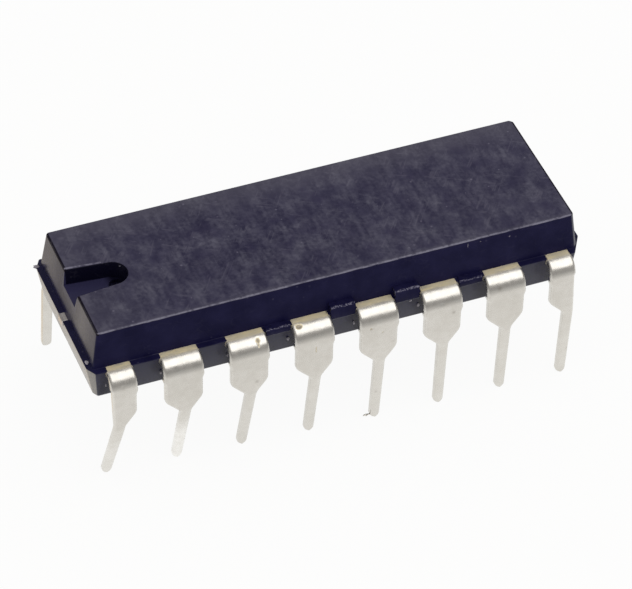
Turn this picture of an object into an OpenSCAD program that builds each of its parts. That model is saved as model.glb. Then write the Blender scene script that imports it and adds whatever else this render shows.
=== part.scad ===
// Sixteen-lead dual in-line integrated circuit in a moulded plastic package.
// X runs along the package with the index notch at the low end, Y runs across it
// from the bent front row to the back row, and Z is up from the tips of the pins.

/* [Moulded body] */
// Length of the lower half at the ledge where the two mould halves meet
body_l = 19.58; // [19.2:0.02:20.2]
// Width of the lower half at that ledge
body_w = 6.54; // [6.4:0.02:6.8]
// Thickness of the lower half, below the top faces of the leads
lower_h = 1.44; // [1.2:0.02:1.8]
// Thickness of the upper half
upper_h = 1.56; // [1.3:0.02:1.9]
// Set-back of the upper half along the two long sides
ledge_side = 0.25; // [0.15:0.01:0.35]
// Set-back of the upper half at the two ends
ledge_end = 0.29; // [0.15:0.01:0.4]
// Draft of the lower half, degrees
lower_draft = 11; // [5:0.5:14]
// Draft of the upper half's long sides, degrees
upper_side_draft = 4.5; // [2:0.5:10]
// Draft of the upper half's ends, degrees
upper_end_draft = 6.5; // [2:0.5:10]
// Cut of the ledge's corners along the package
corner_cut_x = 0.24; // [0.1:0.02:0.4]
// Cut of the ledge's corners across the package
corner_cut_y = 0.41; // [0.1:0.01:0.6]

/* [Index notch] */
// Width of the notch's mouth at the end of the package
notch_mouth_w = 1.5; // [1:0.05:1.8]
// Width of the notch where it meets the round pit
notch_neck_w = 1.2; // [0.8:0.05:1.4]
// Depth of the notch
notch_depth = 0.7; // [0.4:0.05:0.9]
// Slope of the notch's walls, degrees
notch_draft = 12; // [0:1:20]
// Distance from the end of the top face to the centre of the pit
pit_centre = 1.55; // [1.2:0.05:2]
// Radius of the pit at the top face
pit_r = 0.6; // [0.45:0.05:0.8]
// Depth of the pit
pit_depth = 0.85; // [0.5:0.05:0.95]

/* [Mould marks] */
// Width of the gate stubs between the middle leads of the front row
gate_w = 0.96; // [0.6:0.04:0.96]
// How far the gate stubs stand out past the lower half's ledge
gate_proud = 0.06; // [0.02:0.01:0.12]
// Height of the two tall gate stubs above the ledge
gate_rise = 0.32; // [0.1:0.02:0.6]
// Radius of the ejector marks on the underside
ejector_r = 0.9; // [0.5:0.1:1.2]
// Depth of the ejector marks
ejector_depth = 0.06; // [0.02:0.01:0.1]
// Distance of the ejector marks from the middle
ejector_x = 6.6; // [5:0.1:8]

/* [Leads] */
// Spacing of the leads along a row
pitch = 2.54; // [2.5:0.01:2.56]
// Gap between the moulding's ledge and the inner faces of the legs
leg_gap = 0.32; // [0.3:0.01:0.5]
// Thickness of the lead frame
lead_t = 0.25; // [0.2:0.01:0.3]
// Width of a lead where it leaves the body
root_w = 1.54; // [1.4:0.02:1.56]
// Width of a leg below its bend
leg_w = 1.45; // [1.3:0.01:1.55]
// Reach of a corner lead's leg from its pin's centre towards the package's end
corner_reach = 0.21; // [0.21:0.01:0.4]
// Outer radius of the bend
bend_r = 0.44; // [0.4:0.02:0.6]
// Stub left on a leg's edges where the dam bar was cut away
dam_stub = 0.06; // [0.02:0.01:0.1]
// Height of those stubs
dam_h = 0.33; // [0.2:0.01:0.5]
// Distance of the stubs below the bend
dam_drop = 0.12; // [0.1:0.01:0.2]
// Height of the underside above the necks of the pins
standoff = 1; // [0.8:0.05:1.2]
// Height of a leg's tapered shoulder above its neck
shoulder_h = 0.6; // [0.4:0.05:0.7]
// Radius of the shoulder's corners
shoulder_r = 0.22; // [0.1:0.02:0.3]
// Length of the narrow pin below the neck
pin_l = 3.1; // [2.8:0.05:3.6]
// Width of the pin at its neck
pin_w = 0.42; // [0.4:0.02:0.5]
// Width of the pin just above its rounded tip
tip_w = 0.38; // [0.3:0.02:0.4]

/* [Bent pins] */
// Inward bend of each front pin, from the notch end, degrees
pin_fold = [16.7, 14.4, 11.2, 7.5, 4.3, 2.2, 1.3, 0.5]; // [0:0.1:20]
// Sideways lean of each front pin towards the notch end, degrees
pin_lean = [5.7, 2.2, 2.8, 1.6, 0.8, 0.6, 1.4, 2.1]; // [0:0.1:8]
// Outward splay of the back row's leg at the notch end, degrees
corner_splay = 7.9; // [0:0.1:10]
// Sideways shift of the front pins towards the plain end
front_shift = 0.06; // [0:0.01:0.1]
// Sideways shift of the splayed leg's pin towards the notch end
corner_shift = 0.17; // [0:0.01:0.2]
// Radius of the fold at a bent pin's neck
fold_r = 0.7; // [0.4:0.1:1]

/* [Lead frame inside] */
// Length of the paddle under the die
paddle_l = 4; // [3:0.1:4.4]
// Distance from the ledge to the paddle's long sides
paddle_side = 1.87; // [1.8:0.01:2.05]
// Width of the two tie bars that held the paddle in its frame
tie_w = 0.45; // [0.3:0.05:0.5]
// Gap between the paddle and the fingertips
finger_gap = 0.3; // [0.25:0.05:0.4]
// Width of a finger just inside the body
finger_w = 0.6; // [0.4:0.05:0.7]
// Width of a fingertip
fingertip_w = 0.36; // [0.3:0.02:0.4]
// Length of the narrow end of a finger
fingertip_l = 0.6; // [0.5:0.05:0.7]
// Gap between neighbouring fingertips, and between them and a tie bar
finger_space = 0.22; // [0.18:0.02:0.26]
// Reach of the slanting part of a corner finger
elbow_l = 0.9; // [0.7:0.05:1.1]
// Depth to which a lead keeps its full root width inside the body
anchor_l = 0.35; // [0.2:0.05:0.5]

/* [Die and bond wires] */
// Length of the silicon die
die_l = 1.9; // [1.4:0.1:2.2]
// Width of the die
die_w = 1.6; // [1.3:0.1:1.8]
// Thickness of the die
die_t = 0.28; // [0.2:0.02:0.38]
// Thickness of the adhesive under the die
attach_t = 0.03; // [0.02:0.01:0.05]
// Margin of adhesive round the die
attach_margin = 0.1; // [0.05:0.01:0.2]
// Diameter of a bond wire
wire_d = 0.03; // [0.02:0.005:0.05]
// Diameter of the ball where a wire starts on the die
ball_d = 0.08; // [0.06:0.01:0.1]
// Height of that ball
ball_h = 0.03; // [0.02:0.01:0.05]
// Height of a wire's loop above its ends
loop_h = 0.45; // [0.3:0.05:0.6]
// Width of the stitch where a wire ends on its finger
stitch_d = 0.045; // [0.03:0.005:0.06]
// Distance of the bond pads from the die's edge
bond_inset = 0.12; // [0.08:0.01:0.15]
// Distance of the outermost bond pads from the die's corners
bond_corner = 0.3; // [0.2:0.02:0.4]
// Distance of a wire's far end from the fingertip's edge
stitch_inset = 0.15; // [0.1:0.01:0.2]

/* [Hidden] */
row_leads = 8;
lead_count = 2 * row_leads;

// Heights
neck_z = pin_l;
underside_z = neck_z + standoff;
frame_z = underside_z + lower_h;
top_z = frame_z + upper_h;
paddle_z = frame_z - lead_t;
die_top_z = frame_z + attach_t + die_t;

// Half sizes of the two mould halves at the plane where they meet
lower_x = body_l / 2;
lower_y = body_w / 2;
upper_x = lower_x - ledge_end;
upper_y = lower_y - ledge_side;

// Outer face of the legs and centre of their bends, measured across from the middle
leg_y = lower_y + leg_gap + lead_t;
bend_y = leg_y - bend_r;
bend_z = frame_z - bend_r;
row_half = (row_leads - 1) / 2;
cut_over = 0.5;
arc_steps = 5;
wire_steps = 8;

body_colour = [0.17, 0.16, 0.20];
tin_colour = [0.78, 0.76, 0.72];
paddle_colour = [0.72, 0.62, 0.50];
attach_colour = [0.70, 0.70, 0.72];
die_colour = [0.36, 0.38, 0.46];
gold_colour = [0.85, 0.66, 0.25];

// Direction helpers for outlines that follow a path
function unit(v) = v / norm(v);
function turned(v) = [-v[1], v[0]];
function arriving(path, i) = unit(path[i] - path[max(i - 1, 0)]);
function leaving(path, i) = unit(path[min(i + 1, len(path) - 1)] - path[i]);
function heading(path, i) =
    i == 0 ? leaving(path, i)
    : i == len(path) - 1 ? arriving(path, i)
    : unit(arriving(path, i) + leaving(path, i));
// Lengthening of a mitred corner, so that the strip keeps its width through a turn
function mitre(path, i) =
    i == 0 || i == len(path) - 1 ? 1 : 1 / (heading(path, i) * leaving(path, i));
function edge(path, widths, side) = [
    for (i = [0:len(path) - 1])
        path[i] + side * turned(heading(path, i)) * mitre(path, i) * widths[i] / 2
];
function reversed(list) = [for (i = [len(list) - 1:-1:0]) list[i]];
// Outline of a strip of changing width along a path
function strip(path, widths) = concat(edge(path, widths, 1), reversed(edge(path, widths, -1)));

// Numbering: leads 1 to 8 run along the front from the notch, 9 to 16 come back behind
function in_front(i) = i <= row_leads;
function lead_x(i) = (in_front(i) ? i - 1 - row_half : lead_count - i - row_half) * pitch;
// Place along the row, counted outwards from the middle: 1 is innermost, 4 a corner lead
function rank(i) = round(abs(lead_x(i)) / pitch + 0.5);
function is_corner(i) = rank(i) == row_leads / 2;
// Half widths towards the package's end and towards its middle
function outer_half(i, w) = is_corner(i) ? corner_reach + (w - leg_w) / 2 : w / 2;
function lead_fold(i) = in_front(i) ? pin_fold[i - 1] : 0;
function lead_splay(i) = i == lead_count ? corner_splay : 0;
function lean_outwards(i) =
    in_front(i) ? (lead_x(i) < 0 ? pin_lean[i - 1] : -pin_lean[i - 1]) : 0;
function neck_shift(i) =
    in_front(i) ? (lead_x(i) < 0 ? -front_shift : front_shift) : i == lead_count ? corner_shift : 0;

// Slab between two drafted faces, one looking along the given direction and one back
module drafted_pair(direction, z_low, z_high, half_low, half_high)
    rotate([0, 0, direction])
        rotate([90, 0, 0])
            linear_extrude(height = 2 * body_l, center = true)
                polygon([
                    [-half_low, z_low],
                    [half_low, z_low],
                    [half_high, z_high],
                    [-half_high, z_high]
                ]);

// Four end and side faces, and a cut across each upright corner
module lower_half() {
    fall = lower_h * tan(lower_draft);
    corner = [lower_x, lower_y - corner_cut_y];
    across = unit([corner_cut_y, corner_cut_x]);
    direction = atan2(across[1], across[0]);
    intersection() {
        drafted_pair(0, underside_z, frame_z, lower_x - fall, lower_x);
        drafted_pair(90, underside_z, frame_z, lower_y - fall, lower_y);
        intersection_for (side = [-1, 1])
            drafted_pair(
                side * direction, underside_z, frame_z,
                corner * across - fall, corner * across
            );
    }
}

module upper_half()
    intersection() {
        drafted_pair(0, frame_z, top_z, upper_x, upper_x - upper_h * tan(upper_end_draft));
        drafted_pair(90, frame_z, top_z, upper_y, upper_y - upper_h * tan(upper_side_draft));
    }

// Stubs of the runner that filled the mould: two tall ones beside the fifth lead,
// and a low one on each side of those
module gate_stubs() {
    for (k = [-1:2]) {
        rise = k == 0 || k == 1 ? gate_rise : 0;
        top_y = lower_y + gate_proud - rise * tan(upper_side_draft);
        rotate([90, 0, 90])
            translate([0, 0, k * pitch - gate_w / 2])
                linear_extrude(height = gate_w)
                    polygon([
                        [-upper_y + ledge_side, frame_z - lead_t],
                        [-lower_y - gate_proud, frame_z - lead_t],
                        [-top_y, frame_z + rise],
                        [-upper_y + ledge_side, frame_z + rise]
                    ]);
    }
}

// Slot in the top face at the pin 1 end, which runs out through the end face
module index_notch() {
    end_x = upper_x - upper_h * tan(upper_end_draft);
    pit_x = -end_x + pit_centre;
    over_z = top_z + cut_over;
    slope = tan(notch_draft);
    wide = notch_mouth_w / 2;
    deep = wide - notch_depth * slope;
    flare = (notch_mouth_w - notch_neck_w) / 2 / pit_centre;
    out_x = -end_x - cut_over;
    intersection() {
        rotate([90, 0, 90])
            translate([0, 0, out_x])
                linear_extrude(height = pit_x - out_x)
                    polygon([
                        [-deep, top_z - notch_depth],
                        [deep, top_z - notch_depth],
                        [wide + cut_over * (slope + flare), over_z],
                        [-wide - cut_over * (slope + flare), over_z]
                    ]);
        translate([0, 0, top_z - notch_depth])
            linear_extrude(height = notch_depth + cut_over)
                polygon([
                    [out_x, -wide - cut_over * flare],
                    [pit_x, -notch_neck_w / 2],
                    [pit_x, notch_neck_w / 2],
                    [out_x, wide + cut_over * flare]
                ]);
    }
    translate([pit_x, 0, top_z - pit_depth])
        cylinder(
            h = pit_depth + cut_over,
            r1 = pit_r - pit_depth * slope / 2,
            r2 = pit_r + cut_over * slope / 2,
            $fn = 48
        );
}

module ejector_marks()
    for (side = [-1, 1])
        translate([side * ejector_x, 0, underside_z - cut_over])
            cylinder(h = cut_over + ejector_depth, r = ejector_r, $fn = 48);

// Half sizes of the paddle and of the die
paddle_x = paddle_l / 2;
paddle_y = lower_y - paddle_side;
die_x = die_l / 2;
die_y = die_w / 2;
// Where the fingertips meet the paddle's short and long sides
corner_lane = tie_w / 2 + finger_space + fingertip_w / 2;
inner_lane = corner_lane + finger_space + fingertip_w;
outer_slot = paddle_x - finger_space - fingertip_w / 2;
inner_slot = outer_slot / 3;

// Where a finger's tip ends, as distances from the middle along and across
function fingertip(r) =
    r == 4 ? [paddle_x + finger_gap, corner_lane]
    : r == 3 ? [paddle_x + finger_gap, inner_lane]
    : [r == 2 ? outer_slot : inner_slot, paddle_y + finger_gap];
// Route of a finger from the start of the bend to its tip
function finger_route(i) =
    let (
        r = rank(i),
        tip = fingertip(r),
        mid = abs(lead_x(i)) + (outer_half(i, root_w) - root_w / 2) / 2,
        shoulder = upper_y - anchor_l
    )
    concat(
        [[mid, bend_y], [mid, shoulder], [mid, shoulder - finger_w / 2]],
        r == 4 ? [[mid, tip[1] + elbow_l], [mid - elbow_l, tip[1]]]
        : r == 3 ? [tip + [fingertip_l, 0]]
        : r == 2 ? [tip + [fingertip_l, fingertip_l / 4]]
        : [tip + [fingertip_l / 4, fingertip_l / 2]],
        [tip]
    );
function finger_widths(i) =
    let (w = outer_half(i, root_w) + root_w / 2)
    concat(
        [w, w, finger_w],
        rank(i) == 4 ? [finger_w, fingertip_w] : [fingertip_w],
        [fingertip_w]
    );

// Places a shape drawn outwards and backwards of the middle at the given lead's corner
module in_quarter(i)
    mirror([lead_x(i) < 0 ? 1 : 0, 0, 0])
        mirror([0, in_front(i) ? 1 : 0, 0])
            children();

module finger(i)
    translate([0, 0, frame_z - lead_t])
        linear_extrude(height = lead_t)
            polygon(strip(finger_route(i), finger_widths(i)));

module bend(i) {
    out_w = outer_half(i, root_w);
    in_w = root_w / 2;
    translate([abs(lead_x(i)), bend_y, bend_z])
        rotate([90, 0, 90])
            rotate([0, 0, lead_splay(i)])
                rotate_extrude(angle = 90 - lead_splay(i), $fn = 64)
                    translate([bend_r - lead_t, -in_w])
                        square([lead_t, in_w + out_w]);
}

// One edge of a leg from its bend to its neck: dam bar stub, edge and shoulder
function leg_edge(top_half, half, neck_half) =
    let (
        stub_top = bend_z - dam_drop,
        stub_low = stub_top - dam_h,
        root = min(top_half, half),
        slant = unit([neck_half - half, -shoulder_h]),
        corner_z = neck_z + shoulder_h,
        turn = atan2(-slant[0], -slant[1]),
        back = shoulder_r * tan(turn / 2),
        centre = [half - shoulder_r, corner_z + back]
    )
    half <= pin_w / 2
    ? [[top_half, bend_z], [half, stub_top], [neck_half, neck_z]]
    : concat(
        [
            [top_half, bend_z],
            [root, stub_top],
            [half + dam_stub, stub_top - dam_stub],
            [half + dam_stub, stub_low],
            [half, stub_low - dam_stub]
        ],
        [
            for (k = [0:arc_steps])
                let (a = turn * k / arc_steps)
                centre + shoulder_r * [cos(a), -sin(a)]
        ],
        [[neck_half, neck_z]]
    );

// Outline of a leg and its pin from the front, with the pin leaning by some degrees
function leg_outline(i) =
    let (
        shift = neck_shift(i),
        out_edge = leg_edge(outer_half(i, root_w), outer_half(i, leg_w), pin_w / 2 + shift),
        in_edge = leg_edge(root_w / 2, leg_w / 2, pin_w / 2 - shift),
        lean = lean_outwards(i),
        drop = pin_l * cos(lead_fold(i)),
        tip_z = neck_z - drop * cos(lean),
        tip_x = shift + drop * sin(lean),
        tip_r = tip_w / 2
    )
    concat(
        out_edge,
        [
            for (k = [0:2 * arc_steps])
                let (a = lean + 90 * (1 - k / arc_steps))
                [tip_x + tip_r * sin(a), tip_z + tip_r * (1 - cos(a))]
        ],
        reversed([for (p = in_edge) [-p[0], p[1]]])
    );

// Path of a leg and its pin seen from the end of the package, along the strip's middle
function leg_path(i) =
    let (
        fold = lead_fold(i),
        mid_y = leg_y - lead_t / 2,
        steps = floor(fold / 4),
        bent = steps > 0 ? fold : 0,
        arc_end = [mid_y - fold_r * (1 - cos(bent)), neck_z - fold_r * sin(bent)],
        rest = pin_l - fold_r * bent * PI / 180
    )
    concat(
        [[mid_y, bend_z], [mid_y, neck_z]],
        steps > 0
        ? [
            for (k = [1:steps])
                let (a = fold * k / steps)
                [mid_y - fold_r * (1 - cos(a)), neck_z - fold_r * sin(a)]
        ]
        : [],
        [arc_end - rest * [sin(fold), cos(fold)]]
    );

module leg(i) {
    path = leg_path(i);
    depth = 2 * leg_y;
    translate([0, bend_y, bend_z])
        rotate([lead_splay(i), 0, 0])
            translate([abs(lead_x(i)), -bend_y, -bend_z])
                intersection() {
                    rotate([90, 0, 90])
                        linear_extrude(height = 2 * pitch, center = true)
                            polygon(strip(path, [for (p = path) lead_t]));
                    rotate([90, 0, 0])
                        translate([0, 0, -depth])
                            linear_extrude(height = depth)
                                polygon(leg_outline(i));
                }
}

module lead(i)
    color(tin_colour)
        in_quarter(i) {
            finger(i);
            bend(i);
            leg(i);
        }

module paddle_form()
    intersection() {
        union() {
            translate([-paddle_x, -paddle_y, paddle_z]) cube([paddle_l, 2 * paddle_y, lead_t]);
            translate([-lower_x, -tie_w / 2, paddle_z]) cube([body_l, tie_w, lead_t]);
        }
        lower_half();
    }

module attach_form()
    translate([-die_x - attach_margin, -die_y - attach_margin, frame_z])
        cube([die_l + 2 * attach_margin, die_w + 2 * attach_margin, attach_t]);

module die_form()
    translate([-die_x, -die_y, frame_z + attach_t])
        cube([die_l, die_w, die_t]);

// Ends of a wire: its pad near the die's edge, and its stitch near the fingertip. The
// four pads of a side are evenly spaced, so the inner ones are at a third of the outer.
function bond_pad(r) =
    r > 2 ? [die_x - bond_inset, (die_y - bond_corner) / (r == 3 ? 1 : 3)]
    : [(die_x - bond_corner) / (r == 2 ? 1 : 3), die_y - bond_inset];
function stitch(i) =
    let (
        path = finger_route(i),
        tip = path[len(path) - 1]
    )
    tip + stitch_inset * unit(path[len(path) - 2] - tip);

// A wire rises straight off its ball on the die, loops over and comes straight down on
// its finger. Its path is given as distance along it and height. The form can run on into
// the die and the finger by some depth, to cut its own cavity.
function wire_share(t) = (1 - cos(180 * t)) / 2;
function wire_path(run, into) = concat(
    [[0, die_top_z - into], [0, die_top_z + ball_h], [0, die_top_z + 2 * ball_h]],
    [
        for (k = [1:wire_steps - 1])
            let (t = k / wire_steps)
            [
                run * wire_share(t),
                die_top_z + (frame_z - die_top_z) * wire_share(t) + loop_h * sin(180 * t)
            ]
    ],
    [[run, frame_z + ball_h], [run, frame_z - into]]
);
wire_widths = concat(
    [ball_d, ball_d],
    [for (k = [1:wire_steps]) wire_d],
    [stitch_d, stitch_d]
);

module wire_form(i, into = 0) {
    from = bond_pad(rank(i));
    to = stitch(i);
    along = to - from;
    in_quarter(i)
        translate([from[0], from[1], 0])
            rotate([90, 0, atan2(along[1], along[0])])
                linear_extrude(height = wire_d, center = true)
                    polygon(strip(wire_path(norm(along), into), wire_widths));
}

module moulded_body()
    color(body_colour)
        difference() {
            union() {
                lower_half();
                upper_half();
                gate_stubs();
            }
            index_notch();
            ejector_marks();
            for (i = [1:lead_count]) in_quarter(i) finger(i);
            paddle_form();
            attach_form();
            die_form();
            for (i = [1:lead_count]) wire_form(i, die_t / 2);
        }

module die_paddle() color(paddle_colour) paddle_form();

module die_attach() color(attach_colour) attach_form();

module silicon_die() color(die_colour) die_form();

module bond_wire(i) color(gold_colour) wire_form(i);

moulded_body();
die_paddle();
die_attach();
silicon_die();
for (i = [1:lead_count]) lead(i);
for (i = [1:lead_count]) bond_wire(i);
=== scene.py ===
# A dual in-line integrated circuit standing on the tips of its pins, dressed over its packed
# solids. It is put together from the inside out: paddle, adhesive, die, bond wires, moulded
# package and leads, and then the table, the light and the camera. Sizes are in millimetres
# until a mesh is made.
import math
import bpy
import numpy as np
from mathutils import Matrix


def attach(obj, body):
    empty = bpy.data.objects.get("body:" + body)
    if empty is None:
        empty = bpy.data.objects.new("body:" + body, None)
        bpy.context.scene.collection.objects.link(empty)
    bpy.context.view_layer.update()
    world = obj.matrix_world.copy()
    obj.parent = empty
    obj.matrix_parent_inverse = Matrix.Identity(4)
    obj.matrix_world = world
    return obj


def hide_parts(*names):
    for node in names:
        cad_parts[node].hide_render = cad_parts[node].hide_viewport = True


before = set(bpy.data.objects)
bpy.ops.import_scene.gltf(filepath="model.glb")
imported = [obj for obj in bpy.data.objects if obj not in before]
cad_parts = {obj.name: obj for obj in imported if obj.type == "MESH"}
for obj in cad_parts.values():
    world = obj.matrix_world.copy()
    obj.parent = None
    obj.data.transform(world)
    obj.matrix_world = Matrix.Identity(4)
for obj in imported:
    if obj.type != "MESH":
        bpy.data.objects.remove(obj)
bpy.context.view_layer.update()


# The die paddle is a stamped island of the copper alloy lead frame, rolled to 0.25 mm. Its two
# tie bars held it in the frame while the package was moulded, and were cut at the ends.
def shader_node(tree, kind, inputs, **settings):
    """Adds a node: inputs are its sockets' values or links, settings are its own options."""
    made = tree.nodes.new("ShaderNode" + kind)
    for key, value in settings.items():
        setattr(made, key, value)
    for key, value in inputs.items():
        if isinstance(value, bpy.types.NodeSocket):
            tree.links.new(value, made.inputs[key])
        else:
            made.inputs[key].default_value = value
    return made


def worked_out(tree, operation, first, second=0.0, third=0.0, clamp=False):
    """A Math node's output: first, second and third are numbers or sockets."""
    given = {0: first, 1: second, 2: third}
    return shader_node(tree, "Math", given, operation=operation, use_clamp=clamp).outputs[0]


def product(tree, first, *others):
    """The product of several numbers or sockets."""
    for other in others:
        first = worked_out(tree, "MULTIPLY", first, other)
    return first


def own_place(tree):
    """A point's place in the shared frame, in metres."""
    return tree.nodes.new("ShaderNodeTexCoord").outputs["Object"]


def position(tree):
    """A point's X, Y and Z in the shared frame, in millimetres."""
    given = {0: own_place(tree), "Scale": 1000.0}
    scaled = shader_node(tree, "VectorMath", given, operation="SCALE")
    return shader_node(tree, "SeparateXYZ", {0: scaled.outputs[0]}).outputs


def eased(tree, value, low, high, to_low=0.0, to_high=1.0):
    """A value mapped smoothly from low..high to to_low..to_high, and held beyond them."""
    span = {"From Min": low, "From Max": high, "To Min": to_low, "To Max": to_high}
    made = shader_node(
        tree, "MapRange", {"Value": value, **span}, interpolation_type="SMOOTHSTEP"
    )
    return made.outputs["Result"]


def within(tree, *spans):
    """The product of eased ranges, each given as (value, low, high) and its two results."""
    return product(tree, *(eased(tree, *span) for span in spans))


def blended(tree, share, first, second, blend="MIX"):
    """A colour between two colours, by a share from 0 to 1."""
    given = {"Factor": share, 6: first, 7: second}
    return shader_node(tree, "Mix", given, data_type="RGBA", blend_type=blend).outputs[2]


def effect_group(name, inputs, output):
    """An empty shader group with number inputs {name: default} and one number output."""
    tree = bpy.data.node_groups.new(name, "ShaderNodeTree")
    for key, value in inputs.items():
        made = tree.interface.new_socket(key, in_out="INPUT", socket_type="NodeSocketFloat")
        made.default_value = value
    tree.interface.new_socket(output, in_out="OUTPUT", socket_type="NodeSocketFloat")
    return tree, tree.nodes.new("NodeGroupInput").outputs, tree.nodes.new("NodeGroupOutput").inputs


def placed_effect(tree, group, **values):
    """Places an effect group in a material with its own values, and gives its output."""
    made = shader_node(tree, "Group", {}, node_tree=group)
    for key, value in values.items():
        made.inputs[key.replace("_", " ").capitalize()].default_value = value
    return made.outputs[0]


def build_soft_patches():
    """Cloudy patches: layered noise of a given size in metres, its contrast raised about the
    middle."""
    tree, given, out = effect_group(
        "soft patches", {"Size": 0.001, "Contrast": 3.0, "Place": 0.0}, "Patches"
    )
    scale = worked_out(tree, "DIVIDE", 1.0, given["Size"])
    seen = {"Vector": own_place(tree), "W": given["Place"], "Scale": scale, "Detail": 4.0}
    noise = shader_node(tree, "TexNoise", seen, noise_dimensions="4D")
    about = worked_out(tree, "SUBTRACT", noise.outputs["Fac"], 0.5)
    raised = worked_out(tree, "MULTIPLY_ADD", about, given["Contrast"], 0.5, clamp=True)
    tree.links.new(raised, out["Patches"])
    return tree


def build_fine_grain():
    """Surface grain: noise of a given size in metres, drawn out along X by a given factor."""
    tree, given, out = effect_group("fine grain", {"Size": 0.0001, "Drawn": 1.0}, "Grain")
    across = worked_out(tree, "DIVIDE", 1.0, given["Size"])
    along = worked_out(tree, "DIVIDE", across, given["Drawn"])
    scale = shader_node(tree, "CombineXYZ", {"X": along, "Y": across, "Z": across}).outputs[0]
    factors = {0: own_place(tree), 1: scale}
    drawn = shader_node(tree, "VectorMath", factors, operation="MULTIPLY").outputs[0]
    noise = shader_node(tree, "TexNoise", {"Vector": drawn, "Scale": 1.0, "Detail": 3.0})
    tree.links.new(noise.outputs["Fac"], out["Grain"])
    return tree


soft_patches = build_soft_patches()
fine_grain = build_fine_grain()


def new_material(name, colour, metallic, roughness, specular=0.5):
    """A material with its surface shader, and the tree to add its detail to."""
    made = bpy.data.materials.new(name)
    made.use_nodes = True
    surface = made.node_tree.nodes["Principled BSDF"]
    keys = ("Base Color", "Metallic", "Roughness", "Specular IOR Level")
    for key, value in zip(keys, (colour, metallic, roughness, specular)):
        surface.inputs[key].default_value = value
    return made, made.node_tree, surface


def raised_by(tree, surface, height, distance):
    """Feeds a height map through a bump of that distance in metres to the surface's normal."""
    bump = shader_node(tree, "Bump", {"Height": height, "Strength": 1.0, "Distance": distance})
    tree.links.new(bump.outputs["Normal"], surface.inputs["Normal"])


def feed(tree, surface, **sockets):
    """Links values to a surface shader's sockets, named in lower case with underscores."""
    for key, value in sockets.items():
        tree.links.new(value, surface.inputs[key.replace("_", " ").title()])


def build_lead_frame_alloy():
    """Rolled copper alloy: long fine rolling marks along X and soft tarnish, tin plated outside
    the moulding, and thinner on the cut ends."""
    made, tree, surface = new_material("lead_frame_alloy", (0.6, 0.42, 0.27, 1), 1.0, 0.4)
    rolled = placed_effect(tree, fine_grain, size=0.00006, drawn=14.0)
    tarnish = placed_effect(tree, soft_patches, size=0.0012, contrast=2.5, place=1.0)
    copper = blended(tree, tarnish, (0.70, 0.60, 0.48, 1), (0.55, 0.42, 0.32, 1))
    from_centre = worked_out(tree, "ABSOLUTE", position(tree)[0])
    plated = within(tree, (from_centre, 9.4, 9.45), (from_centre, 9.77, 9.79, 1.0, 0.6))
    feed(
        tree,
        surface,
        base_color=blended(tree, plated, copper, (0.56, 0.53, 0.52, 1)),
        roughness=eased(tree, rolled, 0.3, 0.7, 0.3, 0.5),
    )
    raised_by(tree, surface, rolled, 0.000004)
    return made


def points_of(x, y, z):
    """Points from their X, Y and Z, which are first stretched to one shape."""
    return np.stack(np.broadcast_arrays(x, y, z), -1)


def grid_faces(rows, columns):
    """Quads of a grid that closes on itself along its columns, its points numbered by rows."""
    row = np.arange(rows - 1)[:, None] * columns
    column = np.arange(columns)[None]
    a, b = row + column, row + (column + 1) % columns
    return np.stack([a, b, b + columns, a + columns], -1).reshape(-1, 4).tolist()


def capped_tube(rings):
    """Points and faces of a closed form from rings (rows, points, 3), with flat ends."""
    rows, columns = rings.shape[:2]
    ends = [list(range(columns))[::-1], list(range((rows - 1) * columns, rows * columns))]
    return rings.reshape(-1, 3), grid_faces(rows, columns) + ends


def linked(name, data):
    """An object of that data, in the scene."""
    made = bpy.data.objects.new(name, data)
    bpy.context.scene.collection.objects.link(made)
    return made


def new_object(name, points, faces, marks=None, mark_name="edge_wear_and_highlight"):
    """A mesh object from points in millimetres, with one number a point in an attribute."""
    mesh = bpy.data.meshes.new(name)
    mesh.from_pydata((np.asarray(points) * 0.001).tolist(), [], faces)
    if marks is not None:
        made = mesh.attributes.new(mark_name, "FLOAT", "POINT")
        made.data.foreach_set("value", np.asarray(marks, np.float32))
    mesh.validate()
    return linked(name, mesh)


def cross_plate():
    """The paddle and its tie bars as one plate: a section with chamfered edges carried along X,
    as wide as a tie bar outside and as the paddle between. The tie bars lie open in the ledge,
    and the cut left a burr at their ends."""
    low, high, chamfer, bar, wide = 5.29, 5.54, 0.02, 0.225, 1.4
    half_plan = np.array(
        [[9.8, 0.19, -0.012], [9.77, bar, 0.006], [9.70, bar, 0], [9.45, bar, 0],
         [9.4, bar, -0.03], [9.0, bar, -0.03], [8.96, bar, 0], [2.01, bar, 0], [2.0, wide, 0]]
    )
    plan = np.concatenate([half_plan * (-1, 1, 1), half_plan[::-1]])
    along, half, lift = plan.T[:, :, None]
    side = np.array([-1, 1, 1, 1, 1, -1, -1, -1])
    inset = np.array([1, 1, 0, 0, 1, 1, 0, 0]) * chamfer
    level = np.array([0, 0, chamfer, -chamfer, 0, 0, -chamfer, chamfer])
    top = np.array([0, 0, 0, 1, 1, 1, 1, 0])
    across = side * (half - inset)
    height = low + level + top * (high - low + lift)
    return capped_tube(points_of(along, across, height))


paddle = new_object("paddle_and_tie_bars", *cross_plate())
paddle.data.materials.append(build_lead_frame_alloy())
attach(paddle, "root")
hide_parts("die_paddle")


# The die's adhesive is a thin bed of epoxy filled with silver flakes, cured under the die.
def build_die_adhesive():
    """Silver-filled epoxy: flake speckle in a grey binder."""
    made, tree, surface = new_material("die_adhesive", (0.45, 0.45, 0.46, 1), 0.3, 0.6)
    flakes = placed_effect(tree, fine_grain, size=0.00003, drawn=1.5)
    bright = eased(tree, flakes, 0.5, 0.62)
    feed(
        tree,
        surface,
        base_color=blended(tree, bright, (0.38, 0.38, 0.39, 1), (0.72, 0.72, 0.73, 1)),
        roughness=eased(tree, flakes, 0.4, 0.65, 0.7, 0.4),
    )
    raised_by(tree, surface, flakes, 0.000005)
    return made


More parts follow.
